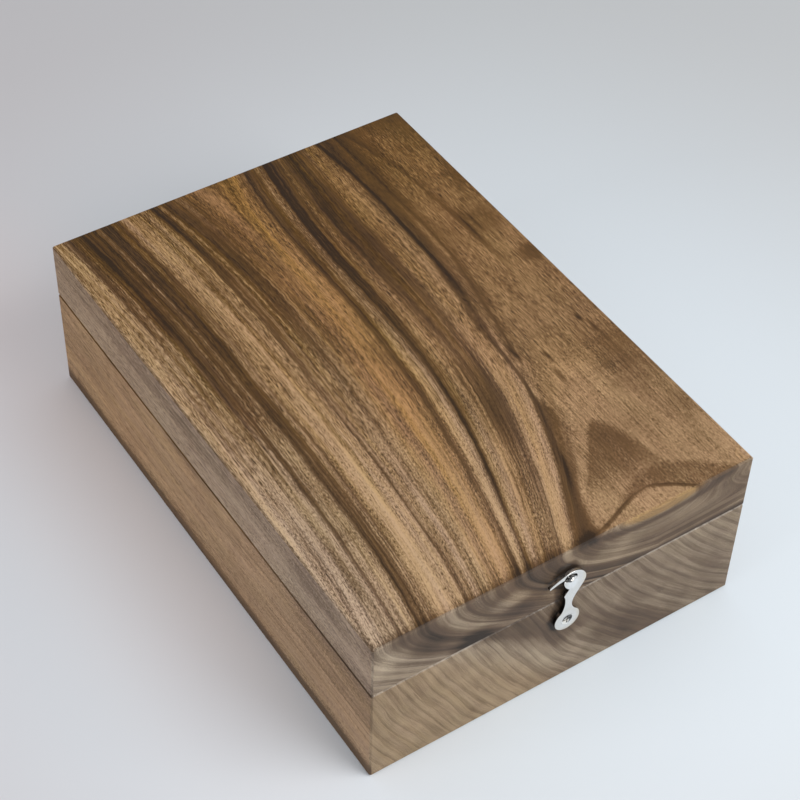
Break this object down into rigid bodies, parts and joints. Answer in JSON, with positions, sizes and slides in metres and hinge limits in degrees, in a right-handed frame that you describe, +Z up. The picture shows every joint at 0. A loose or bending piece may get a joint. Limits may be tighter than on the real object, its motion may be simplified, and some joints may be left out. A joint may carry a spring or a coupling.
{
  "type": "wooden keepsake box",
  "caption": "Low rectangular hinged box milled from solid walnut, with a bare top and a small metal swing hook on the front that catches a stud on the lid.",
  "frame": {"origin": "middle of the underside, on the surface that the box stands on", "axes": "+Z up, -Y towards the front with the hook, +Y along the long sides to the hinges, +X to the right seen from the front"},
  "size_m": [0.2, 0.2955, 0.09],
  "materials": {
    "base_wood": "oiled walnut, satin",
    "lid_wood": "oiled walnut, satin",
    "hinge_metal": "nickel plated",
    "screw_metal": "bright nickel",
    "hook_metal": "bright nickel, cast"
  },
  "bodies": {
    "base": {"base_block": "base_wood", "left_hinge_base_leaf": "hinge_metal", "right_hinge_base_leaf": "hinge_metal", "left_hinge_pin": "hinge_metal", "right_hinge_pin": "hinge_metal", "base_leaf_screws": "screw_metal", "hook_pivot_screw": "screw_metal", "hook_washer": "screw_metal"},
    "lid": {"lid_block": "lid_wood", "left_hinge_lid_leaf": "hinge_metal", "right_hinge_lid_leaf": "hinge_metal", "lid_leaf_screws": "screw_metal", "catch_stud": "screw_metal"},
    "hook": {"latch_hook": "hook_metal"}
  },
  "joints": [
    {"name": "lid_hinge", "type": "hinge", "parent": "base", "child": "lid", "pos_m": [0, 0.1446, 0.05855], "axis": [-1, 0, 0], "range_deg": [0, 105]},
    {"name": "hook_swing", "type": "hinge", "parent": "base", "child": "hook", "pos_m": [0, -0.1462, 0.0459], "axis": [0, 1, 0], "range_deg": [0, 180]}
  ]
}
